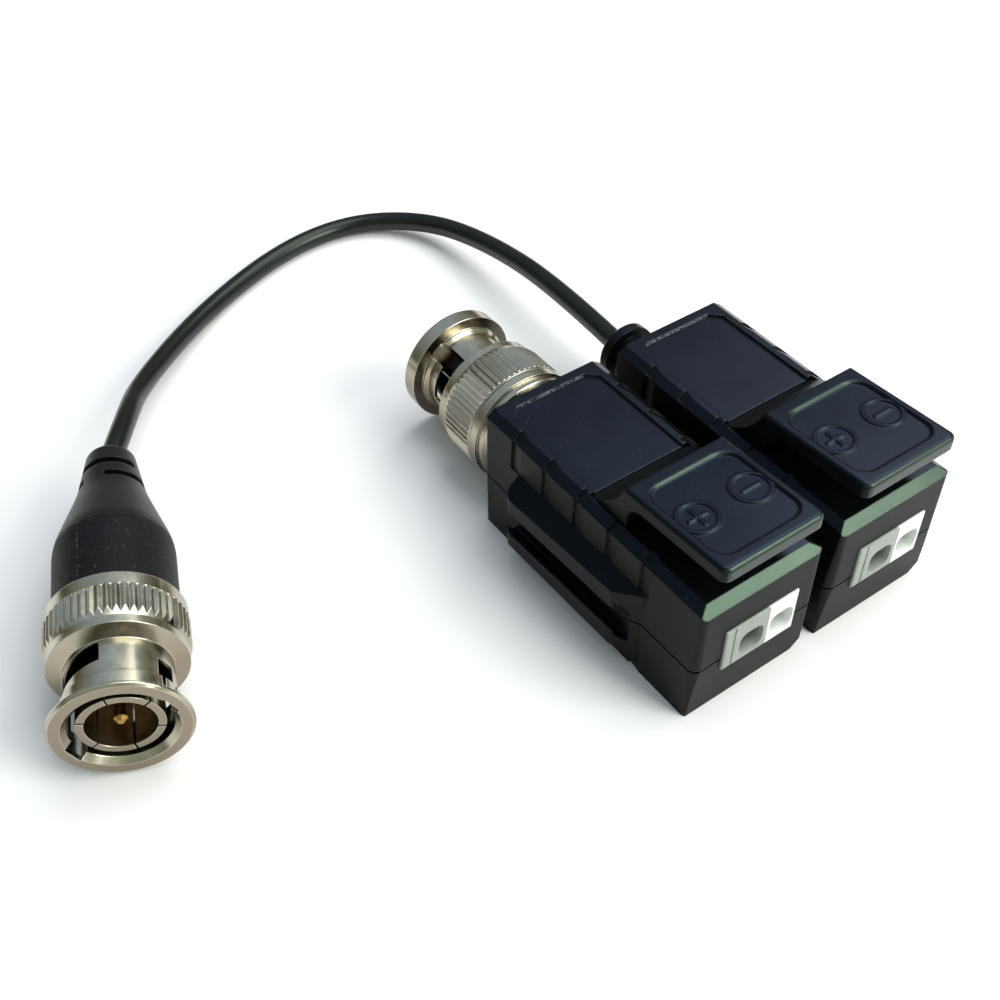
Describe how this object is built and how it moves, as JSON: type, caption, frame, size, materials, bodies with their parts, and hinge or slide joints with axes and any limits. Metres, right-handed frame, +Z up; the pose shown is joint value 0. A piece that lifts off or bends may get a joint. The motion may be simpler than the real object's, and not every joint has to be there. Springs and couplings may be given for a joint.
{
  "type": "video balun pair",
  "caption": "Passive video balun units clipped side by side by flank rails, with press-lever wire terminals, a rigid bayonet coaxial plug and a coaxial pigtail with a moulded plug.",
  "frame": {"origin": "below the middle of the two clipped units, on the surface they lie on", "axes": "+X from the left unit to the right unit, +Y from the wire terminals to the coaxial plug, +Z up"},
  "size_m": [0.0891, 0.0947, 0.0215],
  "materials": {
    "black_abs": "fine satin, slightly worn",
    "lever_abs": "fine satin",
    "white_nylon": "smooth",
    "tinned_brass": "tinned",
    "spring_steel": "bright",
    "board_laminate": "solder mask",
    "ferrite": "matt sintered",
    "enamelled_copper": "enamelled",
    "moulded_pvc": "fine matt",
    "cord_pvc": "smooth, slightly glossy",
    "nickel_plate": "bright nickel plate",
    "bead_plastic": "smooth",
    "gold_plate": "gold plate"
  },
  "bodies": {
    "left_unit": {"left_upper_shell": "black_abs", "left_lower_shell": "black_abs", "left_terminal_block": "white_nylon", "left_contact_bar_plus": "tinned_brass", "left_contact_bar_minus": "tinned_brass", "left_circuit_board": "board_laminate", "left_ferrite_core": "ferrite", "left_winding": "enamelled_copper", "left_plug_body": "nickel_plate", "left_outer_contact": "nickel_plate", "left_insulator": "bead_plastic", "left_centre_pin": "gold_plate"},
    "left_lever": {"left_press_lever": "lever_abs"},
    "left_clamps": {"left_wire_clamp_plus": "spring_steel", "left_wire_clamp_minus": "spring_steel"},
    "left_ring": {"left_coupling_ring": "nickel_plate", "left_retaining_ring": "spring_steel", "left_spring_washer": "spring_steel"},
    "right_unit": {"right_upper_shell": "black_abs", "right_lower_shell": "black_abs", "right_terminal_block": "white_nylon", "right_contact_bar_plus": "tinned_brass", "right_contact_bar_minus": "tinned_brass", "right_circuit_board": "board_laminate", "right_ferrite_core": "ferrite", "right_winding": "enamelled_copper", "right_strain_relief": "moulded_pvc", "coax_cord": "cord_pvc", "plug_boot": "moulded_pvc", "plug_body": "nickel_plate", "plug_outer_contact": "nickel_plate", "plug_insulator": "bead_plastic", "plug_centre_pin": "gold_plate"},
    "right_lever": {"right_press_lever": "lever_abs"},
    "right_clamps": {"right_wire_clamp_plus": "spring_steel", "right_wire_clamp_minus": "spring_steel"},
    "plug_ring": {"plug_coupling_ring": "nickel_plate", "plug_retaining_ring": "spring_steel", "plug_spring_washer": "spring_steel"}
  },
  "joints": [
    {"name": "left_lever_press", "type": "hinge", "parent": "left_unit", "child": "left_lever", "pos_m": [-0.0089, -0.00991, 0.0143], "axis": [1, 0, 0], "range_deg": [0, 8], "stiffness_Nm_per_rad": 0.3},
    {"name": "left_clamps_open", "type": "slide", "parent": "left_unit", "child": "left_clamps", "axis": [0, 0, -1], "range_m": [0, 0.00118]},
    {"name": "right_lever_press", "type": "hinge", "parent": "right_unit", "child": "right_lever", "pos_m": [0.0091, -0.00991, 0.0143], "axis": [1, 0, 0], "range_deg": [0, 8], "stiffness_Nm_per_rad": 0.3},
    {"name": "right_clamps_open", "type": "slide", "parent": "right_unit", "child": "right_clamps", "axis": [0, 0, -1], "range_m": [0, 0.00118]},
    {"name": "left_ring_turn", "type": "hinge", "parent": "left_unit", "child": "left_ring", "pos_m": [-0.0089, 0.01991, 0.0073], "axis": [0, 1, 0], "continuous": true},
    {"name": "units_unclip", "type": "slide", "parent": "left_unit", "child": "right_unit", "axis": [0, -1, 0], "range_m": [0, 0.019]},
    {"name": "pigtail_ring_turn", "type": "hinge", "parent": "right_unit", "child": "plug_ring", "pos_m": [-0.06136, 0.00655, 0.00712], "axis": [-0.3811, -0.9245, 0], "continuous": true}
  ],
  "couplings": [
    {"joint": "left_clamps_open", "follows": "left_lever_press", "m_per_rad": 0.0084},
    {"joint": "right_clamps_open", "follows": "right_lever_press", "m_per_rad": 0.0084}
  ]
}
